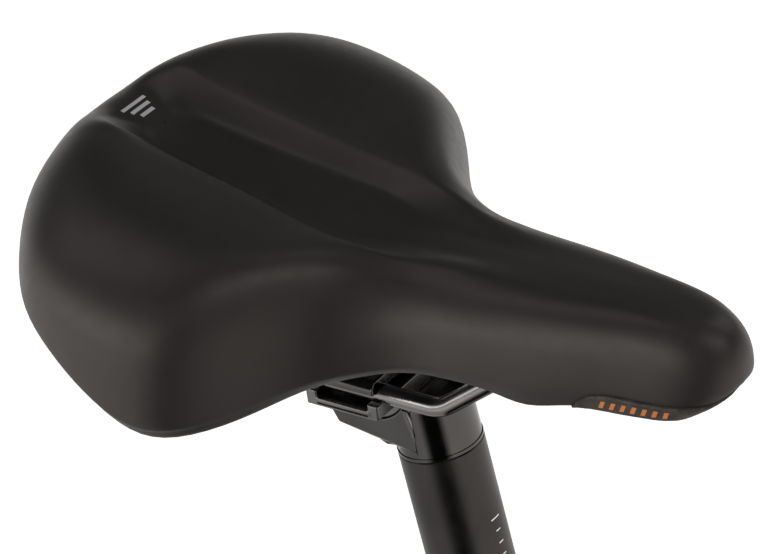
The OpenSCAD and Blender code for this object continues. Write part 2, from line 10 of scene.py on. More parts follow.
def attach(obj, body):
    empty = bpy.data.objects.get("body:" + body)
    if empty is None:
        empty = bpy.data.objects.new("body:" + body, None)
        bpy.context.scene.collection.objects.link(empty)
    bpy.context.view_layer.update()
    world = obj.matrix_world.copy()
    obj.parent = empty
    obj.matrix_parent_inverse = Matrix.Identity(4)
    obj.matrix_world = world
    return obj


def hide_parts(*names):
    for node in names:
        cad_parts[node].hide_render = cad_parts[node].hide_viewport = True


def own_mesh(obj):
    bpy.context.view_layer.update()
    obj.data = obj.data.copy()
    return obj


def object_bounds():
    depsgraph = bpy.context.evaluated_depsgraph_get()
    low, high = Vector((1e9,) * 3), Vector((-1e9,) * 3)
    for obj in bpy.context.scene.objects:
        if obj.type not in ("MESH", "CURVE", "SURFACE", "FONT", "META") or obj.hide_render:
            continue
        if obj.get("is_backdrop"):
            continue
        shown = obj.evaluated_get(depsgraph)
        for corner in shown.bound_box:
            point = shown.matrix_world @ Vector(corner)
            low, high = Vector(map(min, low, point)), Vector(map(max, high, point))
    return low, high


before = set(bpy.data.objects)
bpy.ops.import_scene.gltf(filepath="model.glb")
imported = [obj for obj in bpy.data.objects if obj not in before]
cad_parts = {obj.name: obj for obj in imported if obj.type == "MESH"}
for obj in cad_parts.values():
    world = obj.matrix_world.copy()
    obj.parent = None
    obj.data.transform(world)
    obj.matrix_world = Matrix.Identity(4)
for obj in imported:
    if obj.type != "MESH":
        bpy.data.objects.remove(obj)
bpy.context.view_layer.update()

bl_info = {
    "name": "Comfort Bicycle Saddle",
    "version": (1, 0, 0),
    "blender": (4, 5, 0),
    "location": "View3D > Sidebar > Saddle",
    "description": "Finishes a comfort bicycle saddle, its rail clamp and its seatpost",
    "category": "Object",
}

MM = 0.001
# Frames of the assembly: saddle datum at its rear edge, tilt axis of the clamp, lean of the post
SADDLE = Vector((-0.1485, 0.0, 0.049))
TILT_AXIS = Vector((-0.0225, 0.0, 0.029))
RAIL_PITCH = math.radians(8.0)
POST_LEAN = math.radians(16.0)
POST_TOP = Vector((0.0, 0.0, 0.0))
POST_UP = Vector((-math.sin(POST_LEAN), 0.0, math.cos(POST_LEAN)))
POST_FORWARD = Vector((math.cos(POST_LEAN), 0.0, math.sin(POST_LEAN)))
RAIL_ALONG = Vector((math.cos(RAIL_PITCH), 0.0, math.sin(RAIL_PITCH)))
RAIL_UP = Vector((-math.sin(RAIL_PITCH), 0.0, math.cos(RAIL_PITCH)))
FORWARD, ASIDE, UPWARD = Vector((1.0, 0.0, 0.0)), Vector((0.0, 1.0, 0.0)), Vector((0.0, 0.0, 1.0))


def on_saddle(x, y, z):
    """Point given in millimetres in the saddle's own frame."""
    return SADDLE + Vector((x, y, z)) * MM


def direction_at(azimuth, elevation):
    """Unit vector towards an azimuth, from -Y over +X, and an elevation, both in radians."""
    level = math.cos(elevation)
    return Vector((math.sin(azimuth) * level, -math.cos(azimuth) * level, math.sin(elevation)))


def prepared(item, **settings):
    """Gives an item its settings, in order."""
    for key, value in settings.items():
        setattr(item, key, value)
    return item


# ---------------------------------------------------------------- settings


def tint_prop(name, description, default):
    """Property for a linear RGB colour."""
    return bpy.props.FloatVectorProperty(name=name, description=description, subtype="COLOR",
                                         size=3, min=0.0, max=1.0, default=default)


def length_prop(name, description, default, least, most):
    """Property for a length in metres."""
    return bpy.props.FloatProperty(name=name, description=description, unit="LENGTH",
                                   subtype="DISTANCE", min=least, max=most, default=default)


def share_prop(name, description, default):
    """Property for a share from 0 to 1."""
    return bpy.props.FloatProperty(name=name, description=description, subtype="FACTOR",
                                   min=0.0, max=1.0, default=default)


def angle_prop(name, description, degrees):
    """Property for an angle, given in degrees."""
    return bpy.props.FloatProperty(name=name, description=description, unit="ROTATION",
                                   subtype="ANGLE", default=math.radians(degrees))


def group_prop(settings, name, description):
    """Property that holds a group of settings."""
    return bpy.props.PointerProperty(type=settings, name=name, description=description)


class CoverSettings(bpy.types.PropertyGroup):
    colour: tint_prop("Colour", "Colour of the soft-touch skin", (0.0195, 0.0170, 0.0163))
    roughness: share_prop("Roughness", "Roughness of the skin", 0.45)
    grain: length_prop("Grain", "Size of the fine grain of the skin", 0.0006, 0.0001, 0.005)
    crest_crease: share_prop("Crest crease", "How crisp the edges of the channel are", 0.45)
    hem_crease: share_prop("Hem crease", "How crisp the lower edge of the skin is", 0.7)
    hem_droop: length_prop(
        "Hem droop", "How far the hem hangs down just behind the bumper", 0.0017, 0.0, 0.003)
    tip_droop: length_prop(
        "Tip droop", "How far the hem hangs down at the tip of the nose", 0.0012, 0.0, 0.003)
    flank_passes: bpy.props.IntProperty(
        name="Flank passes", description="How often the flanks at the waist are evened out",
        min=0, max=20, default=6)
    mark_colour: tint_prop(
        "Mark colour", "Colour of the plain silver bars at the rear", (0.62, 0.62, 0.64))


class BumperSettings(bpy.types.PropertyGroup):
    colour: tint_prop("Colour", "Base colour of the nose bumper", (0.030, 0.024, 0.020))
    fleck_colour: tint_prop("Fleck colour", "Colour of the bumper's flecks", (0.11, 0.095, 0.082))
    mark_colour: tint_prop("Mark colour", "Colour of the printed bars", (0.70, 0.22, 0.05))
    wall: length_prop("Wall", "How far the bumper stands proud of the skin", 0.0009, 0.0005, 0.002)


class MetalSettings(bpy.types.PropertyGroup):
    rail_colour: tint_prop("Rail colour", "Colour of the painted rails", (0.175, 0.168, 0.165))
    head_colour: tint_prop(
        "Head colour", "Colour of the post head and the upper clamp", (0.066, 0.062, 0.060))
    cradle_colour: tint_prop("Cradle colour", "Colour of the lower cradle", (0.14, 0.136, 0.132))
    post_colour: tint_prop("Post colour", "Colour of the post tube", (0.052, 0.048, 0.046))
    edge_bevel: length_prop(
        "Edge bevel", "Width of the broken edges of the metal pieces", 0.0004, 0.0001, 0.001)
    belly_round: length_prop(
        "Belly round", "Width of the rounding under the arm of the head", 0.003, 0.001, 0.004)
    thread_pitch: length_prop(
        "Thread pitch", "Pitch of the clamp bolt's thread", 0.00125, 0.0005, 0.002)


class PlasticSettings(bpy.types.PropertyGroup):
    shell_colour: tint_prop(
        "Shell colour", "Colour of the moulded shell and its fittings", (0.009, 0.009, 0.0095))
    buffer_colour: tint_prop("Buffer colour", "Colour of the rubber buffers", (0.055, 0.055, 0.058))
    foam_colour: tint_prop("Foam colour", "Colour of the foam pad", (0.20, 0.20, 0.21))
    edge_bevel: length_prop(
        "Edge bevel", "Width of the rounded edges of the mouldings", 0.0008, 0.0002, 0.002)


class StudioSettings(bpy.types.PropertyGroup):
    camera_distance: length_prop(
        "Camera distance", "Distance of the camera from the saddle", 1.2, 0.5, 5.0)
    azimuth: angle_prop("Azimuth", "Camera angle round the object", 33.9)
    elevation: angle_prop("Elevation", "Camera angle over the horizon", 34.6)
    lens: bpy.props.FloatProperty(
        name="Lens", description="Focal length in millimetres on a 36 mm sensor",
        min=20.0, max=300.0, default=160.615)


class SaddleLook(bpy.types.PropertyGroup):
    cover: group_prop(CoverSettings, "Cover", "The skin")
    bumper: group_prop(BumperSettings, "Bumper", "Nose bumper")
    metal: group_prop(MetalSettings, "Metal", "Metal pieces")
    plastic: group_prop(PlasticSettings, "Plastic", "Mouldings")
    studio: group_prop(StudioSettings, "Studio", "Camera and lights")


def look():
    """The settings of the whole saddle."""
    return bpy.context.scene.saddle_look


# ---------------------------------------------------------------- materials


class Graph:
    """Short calls that build a tree of shader nodes."""

    def __init__(self, tree):
        self.tree = tree

    def of_type(self, kind):
        """The tree's own node of a type."""
        return next(node for node in self.tree.nodes if node.type == kind)

    def node(self, kind, *inputs, **settings):
        """New node with its settings, and with its first inputs fed in order."""
        made = prepared(self.tree.nodes.new(kind), **settings)
        for value, socket in zip(inputs, made.inputs):
            self.feed(value, socket)
        return made

    def feed(self, value, socket):
        """Links a socket, or sets it to a number, a vector or an RGB colour."""
        if isinstance(value, bpy.types.NodeSocket):
            self.tree.links.new(value, socket)
        else:
            socket.default_value = (*value, 1.0) if socket.type == "RGBA" else value

    def fill(self, node, **sockets):
        """Feeds a node's inputs by name, with _ for each space."""
        for name, value in sockets.items():
            self.feed(value, node.inputs[name.replace("_", " ")])
        return node

    def ramp(self, value, low, high, low_out=0.0, high_out=1.0):
        """Value taken from low..high to low_out..high_out, held at the ends."""
        ramp = self.node("ShaderNodeMapRange", value, low, high, low_out, high_out)
        return ramp.outputs["Result"]

    def math(self, operation, *values):
        return self.node("ShaderNodeMath", *values, operation=operation).outputs["Value"]

    def vector(self, operation, *values):
        """Vector operation; a product or a length gives a number."""
        result = "Value" if operation in ("DOT_PRODUCT", "LENGTH") else "Vector"
        return self.node("ShaderNodeVectorMath", *values, operation=operation).outputs[result]

    def mix(self, factor, a, b):
        """Mix of two colours, each an RGB triple or a socket."""
        node = self.node("ShaderNodeMix", data_type="RGBA")
        for value, index in ((factor, 0), (a, 6), (b, 7)):
            self.feed(value, node.inputs[index])
        return node.outputs[2]

    def camera_ray(self):
        """1 for what the camera sees directly, 0 for reflections and light."""
        return self.node("ShaderNodeLightPath").outputs["Is Camera Ray"]


class Recipe(Graph):
    """A node material under construction, with patterns in Object coordinates."""

    def __init__(self, name, colour, roughness, metallic=0.0, **sockets):
        self.material = bpy.data.materials.new(name)
        self.material.use_nodes = True
        super().__init__(self.material.node_tree)
        self.shader = self.of_type("BSDF_PRINCIPLED")
        self.fill(self.shader, Base_Color=colour, Roughness=roughness, Metallic=metallic,
                  **sockets)
        self.place = self.node("ShaderNodeTexCoord").outputs["Object"]

    def scaled(self, *scale):
        """Place on the piece, scaled along each axis."""
        return self.fill(self.node("ShaderNodeMapping", self.place), Scale=scale).outputs["Vector"]

    def noise(self, size, detail=2.0, roughness=0.5, stretch=(1.0, 1.0, 1.0)):
        """Noise whose blobs are about size metres across."""
        place = self.scaled(*(share / size for share in stretch))
        return self.fill(self.node("ShaderNodeTexNoise"), Vector=place, Scale=1.0, Detail=detail,
                         Roughness=roughness).outputs["Fac"]

    def cells(self, size):
        """Distance from the middle of cells that are about size metres across."""
        place = self.scaled(*(1.0 / size,) * 3)
        return self.fill(self.node("ShaderNodeTexVoronoi", feature="F1"), Vector=place,
                         Scale=1.0).outputs["Distance"]

    def along(self, origin, direction):
        """Distance in metres of the shaded point from origin along a direction."""
        return self.vector("DOT_PRODUCT", self.vector("SUBTRACT", self.place, origin), direction)

    def within(self, value, low, high, soft=0.00004):
        """1 where the value lies between low and high, 0 outside, with a narrow soft edge."""
        centre, half = (low + high) / 2, (high - low) / 2
        away = self.math("ABSOLUTE", self.math("SUBTRACT", value, centre))
        return self.ramp(away, half - soft, half + soft, 1.0, 0.0)

    def either(self, first, *others):
        """Mask that holds where any of the masks does."""
        for other in others:
            first = self.math("MAXIMUM", first, other)
        return first

    def bars(self, u, v, places, v_low, v_high, width):
        """Mask of short printed bars: each stands at a place along u and spans v_low..v_high."""
        columns = [self.within(u, place - width / 2, place + width / 2) for place in places]
        return self.math("MULTIPLY", self.either(*columns), self.within(v, v_low, v_high))

    def shades(self, pattern, colour, dark, light, low=0.3, high=0.7):
        """Base colour that drifts with a pattern between two multiples of a colour."""
        ends = [tuple(part * share for part in colour) for share in (dark, light)]
        self.fill(self.shader, Base_Color=self.mix(self.ramp(pattern, low, high), *ends))

    def gloss(self, pattern, smooth, rough):
        """Roughness that drifts with a noise pattern between two values."""
        self.fill(self.shader, Roughness=self.ramp(pattern, 0.3, 0.7, smooth, rough))

    def printed(self, mask, colour):
        """Prints a colour over the base colour where the mask holds."""
        base = self.shader.inputs["Base Color"].links[0].from_socket
        self.fill(self.shader, Base_Color=self.mix(mask, base, colour))

    def bump(self, *layers):
        """Bump from (height socket, distance in metres, strength) layers, coarsest first."""
        under = {}
        for height, distance, strength in layers:
            node = self.fill(self.node("ShaderNodeBump"), Strength=strength, Distance=distance,
                             Height=height, **under)
            under = {"Normal": node.outputs["Normal"]}
        self.fill(self.shader, **under)


MATERIALS = {}


def cached(recipe, *arguments):
    """The material of a recipe, made once for the same arguments."""
    key = (recipe, *arguments)
    if key not in MATERIALS:
        MATERIALS[key] = recipe(*arguments)
    return MATERIALS[key]


# Bars in the rear of the channel, in metres: distances from the rear edge with half their
# lengths, their width, and between which heights they are printed
CHANNEL_BARS = ((0.0160, 0.0065), (0.0192, 0.0050), (0.0224, 0.0035))
CHANNEL_BAR_WIDTH, CHANNEL_BAR_HEIGHTS = 0.0016, (0.040, 0.060)
# Bars on each side of the bumper, in metres: places along the nose, ends, width, and the share
# by which they lean; the ends lie on planes that follow the edge of the trim
BUMPER_BARS = [0.0225 + 0.0036 * k for k in range(7)]
BUMPER_BAR_ENDS, BUMPER_BAR_WIDTH, BUMPER_BAR_LEAN = (0.0123, 0.0155), 0.0015, -0.35
TRIM_UP = Vector((-0.075, 0.0, 1.0)).normalized()
# Ticks on the rails, in metres: places from the tilt axis, ends over the rail's middle, width
RAIL_TICKS = (([0.0135 + 0.0011 * k for k in range(13)], 0.0023, 0.0031, 0.0002),
              ([0.0135 + 0.0044 * k for k in range(4)], 0.0018, 0.0031, 0.00025))
RAIL_OUTER_SIDE = (0.0220, 0.0221)
# Ticks down the post, in metres: places under its top, ends from its front line, width; then the
# line for the least insertion
POST_TICKS = (([0.0300 + 0.005 * k for k in range(36)], -0.0012, 0.0012, 0.0005),
              ([0.0300 + 0.025 * k for k in range(8)], -0.0024, 0.0024, 0.0005))
POST_LINE = (0.2090, 0.2100)


def skin_material():
    """Matt soft-touch skin with a fine grain and three plain silver bars in the channel."""
    s = look().cover
    recipe = Recipe("soft_touch_skin", s.colour, s.roughness, Specular_IOR_Level=0.5,
                    Specular_Tint=(1.0, 0.92, 0.88))
    recipe.shades(recipe.noise(0.05, 3.0, 0.6), s.colour, 0.9, 1.1)
    u, v, up = (recipe.along(SADDLE, axis) for axis in (FORWARD, ASIDE, UPWARD))
    marks = recipe.either(*(recipe.bars(u, v, [place], -reach, reach, CHANNEL_BAR_WIDTH)
                            for place, reach in CHANNEL_BARS))
    marks = recipe.math("MULTIPLY", marks, recipe.within(up, *CHANNEL_BAR_HEIGHTS))
    recipe.printed(marks, s.mark_colour)
    recipe.gloss(recipe.noise(0.004, 3.0, 0.6), s.roughness - 0.03, s.roughness + 0.04)
    recipe.bump((recipe.noise(0.012, 2.0, 0.5), 0.00012, 0.25),
                (recipe.noise(s.grain, 2.0, 0.55), 0.00004, 0.35))
    return recipe.material


def foam_material():
    """Grey foam with open pores, with painted shade darkening their pits."""
    s = look().plastic
    recipe = Recipe("moulded_foam", s.foam_colour, 0.9)
    pores = recipe.cells(0.0009)
    # Painted shade: the base colour darkens towards the middle of each pore, where the bump sinks
    # it into a pit
    recipe.shades(pores, s.foam_colour, 0.7, 1.0, 0.1, 0.6)
    recipe.bump((pores, 0.0002, 0.5))
    return recipe.material


def bumper_material():
    """Dark flecked rubber with a row of slanted bars on each side of the nose."""
    s = look().bumper
    recipe = Recipe("flecked_bumper", s.colour, 0.55, Specular_IOR_Level=0.45)
    flecks = recipe.ramp(recipe.cells(0.0013), 0.28, 0.12)
    clouds = recipe.ramp(recipe.noise(0.0035, 4.0, 0.65), 0.42, 0.68)
    mottling = recipe.either(flecks, recipe.math("MULTIPLY", clouds, 0.6))
    amount = recipe.math("MULTIPLY", mottling, 0.75)
    recipe.fill(recipe.shader, Base_Color=recipe.mix(amount, s.colour, s.fleck_colour))
    u = recipe.along(on_saddle(200, 0, 0), FORWARD)
    v = recipe.along(on_saddle(206, 0, 0), TRIM_UP)
    side = recipe.math("ABSOLUTE", recipe.along(SADDLE, ASIDE))
    off_middle = recipe.ramp(side, 0.008, 0.0081)
    lean = recipe.math("ADD", u, recipe.math("MULTIPLY", v, BUMPER_BAR_LEAN))
    marks = recipe.bars(lean, v, BUMPER_BARS, *BUMPER_BAR_ENDS, BUMPER_BAR_WIDTH)
    recipe.printed(recipe.math("MULTIPLY", marks, off_middle), s.mark_colour)
    recipe.gloss(recipe.noise(0.002, 3.0, 0.6), 0.45, 0.65)
    recipe.bump((recipe.cells(0.0008), 0.00008, 0.4))
    return recipe.material


def moulding_material():
    """Black moulded plastic with a fine grain."""
    s = look().plastic
    recipe = Recipe("moulded_black", s.shell_colour, 0.45, Specular_IOR_Level=0.3)
    recipe.shades(recipe.noise(0.03, 3.0), s.shell_colour, 0.85, 1.2)
    recipe.gloss(recipe.noise(0.006, 4.0), 0.38, 0.55)
    recipe.bump((recipe.noise(0.0007, 2.0), 0.00006, 0.4))
    return recipe.material


def buffer_material():
    """Dull grey rubber."""
    s = look().plastic
    recipe = Recipe("rubber_buffer", s.buffer_colour, 0.7, Specular_IOR_Level=0.4)
    recipe.shades(recipe.noise(0.008, 4.0, 0.65), s.buffer_colour, 0.8, 1.25, 0.35, 0.65)
    recipe.gloss(recipe.noise(0.003, 3.0), 0.62, 0.8)
    recipe.bump((recipe.noise(0.0009, 3.0), 0.0001, 0.35))
    return recipe.material


def anodised_recipe(name, colour, roughness, coat):
    """Black metal finish with a thin clear coat, faint orange peel and slight wear in the gloss."""
    recipe = Recipe(name, colour, roughness, 1.0, Coat_Weight=coat, Coat_Roughness=0.08)
    recipe.shades(recipe.noise(0.02, 3.0), colour, 0.9, 1.12)
    recipe.gloss(recipe.noise(0.005, 4.0, 0.6), roughness - 0.04, roughness + 0.06)
    recipe.bump((recipe.noise(0.0016, 2.0), 0.00003, 0.3))
    return recipe


def cradle_material():
    """Satin finish of the lower cradle."""
    return anodised_recipe("cradle_satin", look().metal.cradle_colour, 0.28, 0.1).material


def head_material():
    """Gloss black finish that the post head and the upper clamp share."""
    return anodised_recipe("head_gloss_black", look().metal.head_colour, 0.15, 0.3).material


def rail_material():
    """Gloss black rails with fine position ticks on their outer sides."""
    recipe = anodised_recipe("rail_gloss_black", look().metal.rail_colour, 0.16, 0.2)
    u, v, side = (recipe.along(TILT_AXIS, axis) for axis in (RAIL_ALONG, RAIL_UP, ASIDE))
    outer = recipe.ramp(recipe.math("ABSOLUTE", side), *RAIL_OUTER_SIDE)
    ticks = recipe.either(*(recipe.bars(u, v, *row) for row in RAIL_TICKS))
    recipe.printed(recipe.math("MULTIPLY", ticks, outer), (0.45, 0.45, 0.45))
    return recipe.material


def post_material():
    """Satin black tube with plain insertion ticks down its front and a least insertion line."""
    recipe = anodised_recipe("post_satin_black", look().metal.post_colour, 0.34, 0.0)
    down = recipe.along(POST_TOP, -POST_UP)
    side = recipe.along(POST_TOP, POST_FORWARD.cross(POST_UP))
    front = recipe.ramp(recipe.along(POST_TOP, POST_FORWARD), 0.0, 0.0001)
    ticks = recipe.either(*(recipe.bars(down, side, *row) for row in POST_TICKS))
    scale = recipe.math("MULTIPLY", ticks, front)
    recipe.printed(recipe.either(scale, recipe.within(down, *POST_LINE)), (0.72, 0.72, 0.72))
    return recipe.material


def steel_material(name, colour, roughness):
    """Plated or blackened steel with a fine turned grain."""
    recipe = Recipe(name, colour, roughness, 1.0)
    recipe.shades(recipe.noise(0.006, 4.0, 0.6), colour, 0.8, 1.15)
    recipe.gloss(recipe.noise(0.002, 3.0), roughness - 0.07, roughness + 0.1)
    recipe.bump((recipe.noise(0.0004, 2.0, 0.5, (1.0, 1.0, 6.0)), 0.00002, 0.4))
    return recipe.material


# ---------------------------------------------------------------- modelling helpers

# Distance in metres under which two points of a form are one
TOUCHING = 0.000002
FULL_TURN = 2 * math.pi


def copy_of(node, weld=0.00001):
    """A bmesh with the welded solids of a node of the frame."""
    bm = bmesh.new()
    bm.from_mesh(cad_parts[node].data)
    bmesh.ops.remove_doubles(bm, verts=bm.verts, dist=weld)
    return bm


def simplify(bm, degrees=0.6):
    """Joins the flat triangles of each plane into one face."""
    bmesh.ops.dissolve_limit(bm, angle_limit=math.radians(degrees), verts=bm.verts,
                             edges=bm.edges, use_dissolve_boundaries=False, delimit=set())


def clean(bm):
    """Merges the doubles of a closed form and turns its faces outwards."""
    bmesh.ops.remove_doubles(bm, verts=bm.verts, dist=TOUCHING)
    bmesh.ops.recalc_face_normals(bm, faces=bm.faces)


def only(kind, geometry):
    """The vertices, edges or faces among an operator's results."""
    return [item for item in geometry if isinstance(item, kind)]


def make_object(name, bm, material, sharp=35.0):
    """A shaded mesh object from a bmesh, with its place in its mesh."""
    mesh = bpy.data.meshes.new(name)
    bm.to_mesh(mesh)
    bm.free()
    mesh.polygons.foreach_set("use_smooth", [True] * len(mesh.polygons))
    if sharp is not None:
        mesh.set_sharp_from_angle(angle=math.radians(sharp))
    mesh.materials.append(material)
    piece = bpy.data.objects.new(name, mesh)
    bpy.context.scene.collection.objects.link(piece)
    return piece


def seat_in(piece, body, slot, node):
    """The piece rides on a body and stands for a node; its slot is not used."""
    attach(piece, body)
    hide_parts(node)


def float_layer(bm, name):
    """A layer of one number for each edge."""
    layers = bm.edges.layers.float
    return layers.get(name) or layers.new(name)


def soften(piece, width, segments, angle):
    """Rounds sharp edges of a piece, apart from those of faces too narrow to hold the round."""
    bm = bmesh.new()
    bm.from_mesh(piece.data)
    weight = float_layer(bm, "bevel_weight_edge")
    for edge in bm.edges:
        sharp = len(edge.link_faces) == 2 and edge.calc_face_angle() > math.radians(angle)
        narrow = any(2 * face.calc_area() < width * face.calc_perimeter()
                     for face in edge.link_faces)
        edge[weight] = 1.0 if sharp and not narrow else 0.0
    bm.to_mesh(piece.data)
    bm.free()
    prepared(piece.modifiers.new("edges", "BEVEL"), width=width, segments=segments,
             limit_method="WEIGHT", use_clamp_overlap=False, miter_outer="MITER_ARC",
             harden_normals=True)


def finish_solid(node, kind, material, body, slot, bevel, segments=3, angle=32.0, shape=None):
    """Finished copy of a node's solid, reshaped where asked, with its sharp edges rounded."""
    bm = copy_of(node)
    simplify(bm)
    if shape:
        shape(bm)
    piece = make_object(f"{node}_{kind}", bm, material)
    soften(piece, bevel, segments, angle)
    seat_in(piece, body, slot, node)


def frame_along(centre, direction):
    """Matrix that takes +Z to a direction and the origin to a centre."""
    turn = UPWARD.rotation_difference(Vector(direction).normalized())
    return Matrix.Translation(centre) @ turn.to_matrix().to_4x4()


def lathe(profile, centre, direction, steps):
    """Closed solid turned from (radius, height) points in metres about an axis."""
    bm = bmesh.new()
    verts = [bm.verts.new((r, 0.0, z)) for r, z in profile]
    edges = [bm.edges.new(pair) for pair in zip(verts, verts[1:])]
    bored = profile[0][0] > 0.0
    if bored:
        edges.append(bm.edges.new((verts[-1], verts[0])))
    bmesh.ops.spin(bm, geom=verts + edges, cent=(0, 0, 0), axis=UPWARD, angle=FULL_TURN,
                   steps=steps, use_merge=True, use_duplicate=False)
    clean(bm)
    bm.transform(frame_along(centre, direction))
    return bm


def merge_into(bm, other):
    """Adds another bmesh to this one."""
    mesh = bpy.data.meshes.new("part")
    other.to_mesh(mesh)
    other.free()
    bm.from_mesh(mesh)
    bpy.data.meshes.remove(mesh)


def sweep(points, radius, bend, sides=32, bend_steps=10):
    """Round rod along a path of points, with a bend of one radius at each inner point."""
    bm = bmesh.new()
    place = points[0]
    bmesh.ops.create_circle(bm, cap_ends=True, segments=sides, radius=radius,
                            matrix=frame_along(place, points[1] - place))
    edges = bm.edges[:]
    for i in range(1, len(points)):
        ahead = (points[i] - points[i - 1]).normalized()
        trim = 0.0
        if i < len(points) - 1:
            after = (points[i + 1] - points[i]).normalized()
            turn = ahead.angle(after)
            trim = bend * math.tan(turn / 2)
        target = points[i] - ahead * trim
        made = bmesh.ops.extrude_edge_only(bm, edges=edges)["geom"]
        verts = only(bmesh.types.BMVert, made)
        edges = [edge for edge in only(bmesh.types.BMEdge, made)
                 if all(vertex in verts for vertex in edge.verts)]
        bmesh.ops.translate(bm, verts=verts, vec=target - place)
        place = target
        if trim:
            axis = ahead.cross(after).normalized()
            made = bmesh.ops.spin(bm, geom=verts + edges, cent=place + axis.cross(ahead) * bend,
                                  axis=axis, angle=turn, steps=bend_steps, use_merge=False,
                                  use_duplicate=False)["geom_last"]
            edges = only(bmesh.types.BMEdge, made)
            place = points[i] + after * trim
    bmesh.ops.edgeloop_fill(bm, edges=edges)
    clean(bm)
    return bm


def hold_size(piece, rounds=4, pace=0.8):
    """Pushes the cage out until the subdivided surface runs through the points of the solid."""
    wanted = [vertex.co.copy() for vertex in piece.data.vertices]
    for _ in range(rounds):
        piece.data.update()
        bpy.context.view_layer.update()
        smooth = piece.evaluated_get(bpy.context.evaluated_depsgraph_get())
        reached = smooth.to_mesh().vertices
        for vertex, place, now in zip(piece.data.vertices, wanted, reached):
            vertex.co += (place - now.co) * pace
        smooth.to_mesh_clear()
    piece.data.update()


# Limits under which two triangles of a form are joined into a square
SQUARE_ANGLE = math.radians(60)
SQUARE_TOPOLOGY = 1.2


def grid_form(name, node, material, levels, crease=None, mould=None):
    """Smooth copy of a faceted form: reshaped and creased where asked, and subdivided."""
    bm = copy_of(node)
    if mould:
        mould(bm)
    bmesh.ops.join_triangles(bm, faces=bm.faces, angle_face_threshold=SQUARE_ANGLE,
                             angle_shape_threshold=SQUARE_ANGLE,
                             topology_influence=SQUARE_TOPOLOGY)
    if crease:
        layer = float_layer(bm, "crease_edge")
        for edge in bm.edges:
            edge[layer] = crease(edge)
    piece = make_object(name, bm, material, sharp=None)
    prepared(piece.modifiers.new("smooth", "SUBSURF"), levels=levels, render_levels=levels)
    hold_size(piece)
    return piece


# ---------------------------------------------------------------- pieces

# The channel's crest over the saddle datum, in metres: along the saddle, from the middle, height
CREST_ALONG, CREST_ASIDE, CREST_HEIGHT = (0.006, 0.17), (0.006, 0.030), 0.030
# Bend in degrees where the crease of the crest starts and over which it grows, and the least
# bend at the hem
CREST_BEND, CREST_BEND_SPAN, HEM_BEND = 8.0, 14.0, 35.0
# Upward part of the normal of an underside and of a top, the largest share of a hem edge that
# rises, and the least share of a crest edge that runs lengthwise
UNDERSIDE, TOPSIDE, HEM_RISE, CREST_RUN = -0.5, 0.5, 0.7, 0.6
# Hollow flanks of the waist, in millimetres: where they are, and over what height filling fades
WAIST_REAR, WAIST_FRONT, WAIST_ASIDE, WAIST_TOP, WAIST_FADE = 80.0, 200.0, 15.0, 32.0, 12.0
# Droop of the hem, in millimetres: its height, its fade, and where it hangs along the saddle
HEM_HEIGHT, HEM_FADE, DROOP_MIDDLE, DROOP_REACH, TIP_START, TIP_REACH = 7, 8, 207, 14, 246, 8


class SADDLE_OT_cover(bpy.types.Operator):
    """Smooth soft-touch skin over the foam, with crisp edges along the channel"""
    bl_idname = "saddle.cover"
    bl_label = "Cover"

    def execute(self, context):
        piece = grid_form("seat_cover", "cover", cached(skin_material), 2, self.crease, self.mould)
        seat_in(piece, "seat", "cover_black", "cover")
        return {"FINISHED"}

    @staticmethod
    def crease(edge):
        """Crease of an edge: firm along the hem, light along the crest of the channel."""
        if len(edge.link_faces) != 2:
            return 0.0
        a, b = edge.verts
        middle, run = (a.co + b.co) / 2 - SADDLE, b.co - a.co
        bend = math.degrees(edge.calc_face_angle(0.0))
        underside = min(face.normal.z for face in edge.link_faces) < UNDERSIDE
        if underside and bend > HEM_BEND and abs(run.z) < HEM_RISE * run.length:
            return look().cover.hem_crease
        on_crest = (middle.z > CREST_HEIGHT and CREST_ALONG[0] < middle.x < CREST_ALONG[1]
                    and CREST_ASIDE[0] < abs(middle.y) < CREST_ASIDE[1])
        lengthwise = abs(run.x) >= CREST_RUN * run.length
        if not on_crest or not lengthwise or edge.link_faces[0].normal.z < TOPSIDE:
            return 0.0
        return look().cover.crest_crease * min(max((bend - CREST_BEND) / CREST_BEND_SPAN, 0.0), 1.0)

    def mould(self, bm):
        """Fills the hollow flanks, and lowers the hem behind the bumper and round the tip."""
        s = look().cover
        hem = {vertex for edge in bm.edges if self.crease(edge) == s.hem_crease
               for vertex in edge.verts}
        flanks = []
        for vertex in bm.verts:
            x, y, z = (vertex.co - SADDLE) / MM
            in_waist = WAIST_REAR < x < WAIST_FRONT and abs(y) > WAIST_ASIDE and z < WAIST_TOP
            if in_waist and vertex not in hem:
                side = math.copysign(1.0, y * vertex.normal.y)
                out = Vector((vertex.normal.x, vertex.normal.y, 0.0)) * side
                share = min((WAIST_TOP - z) / WAIST_FADE, 1.0)
                flanks.append((vertex, vertex.co.copy(), out.normalized(), share))
        for _ in range(s.flank_passes):
            bmesh.ops.smooth_vert(bm, verts=[flank[0] for flank in flanks], factor=0.5,
                                  use_axis_x=True, use_axis_y=True, use_axis_z=False)
        for vertex, start, out, share in flanks:
            vertex.co = start + out * max((vertex.co - start).dot(out), 0.0) * share
        for vertex in bm.verts:
            x, _, z = (vertex.co - SADDLE) / MM
            low = min(1.0 - (z - HEM_HEIGHT) / HEM_FADE, 1.0)
            along = 1.0 - abs(x - DROOP_MIDDLE) / DROOP_REACH
            tip = min((x - TIP_START) / TIP_REACH, 1.0)
            if low > 0.0 and along > 0.0:
                vertex.co.z -= s.hem_droop * along * (2.0 - along) * low
            if low > 0.0 and tip > 0.0:
                vertex.co.z -= s.tip_droop * tip * low


class SADDLE_OT_foam(bpy.types.Operator):
    """Moulded foam pad under the skin"""
    bl_idname = "saddle.foam"
    bl_label = "Foam pad"

    def execute(self, context):
        piece = grid_form("foam_core", "foam_pad", cached(foam_material), 1)
        seat_in(piece, "seat", "foam", "foam_pad")
        return {"FINISHED"}


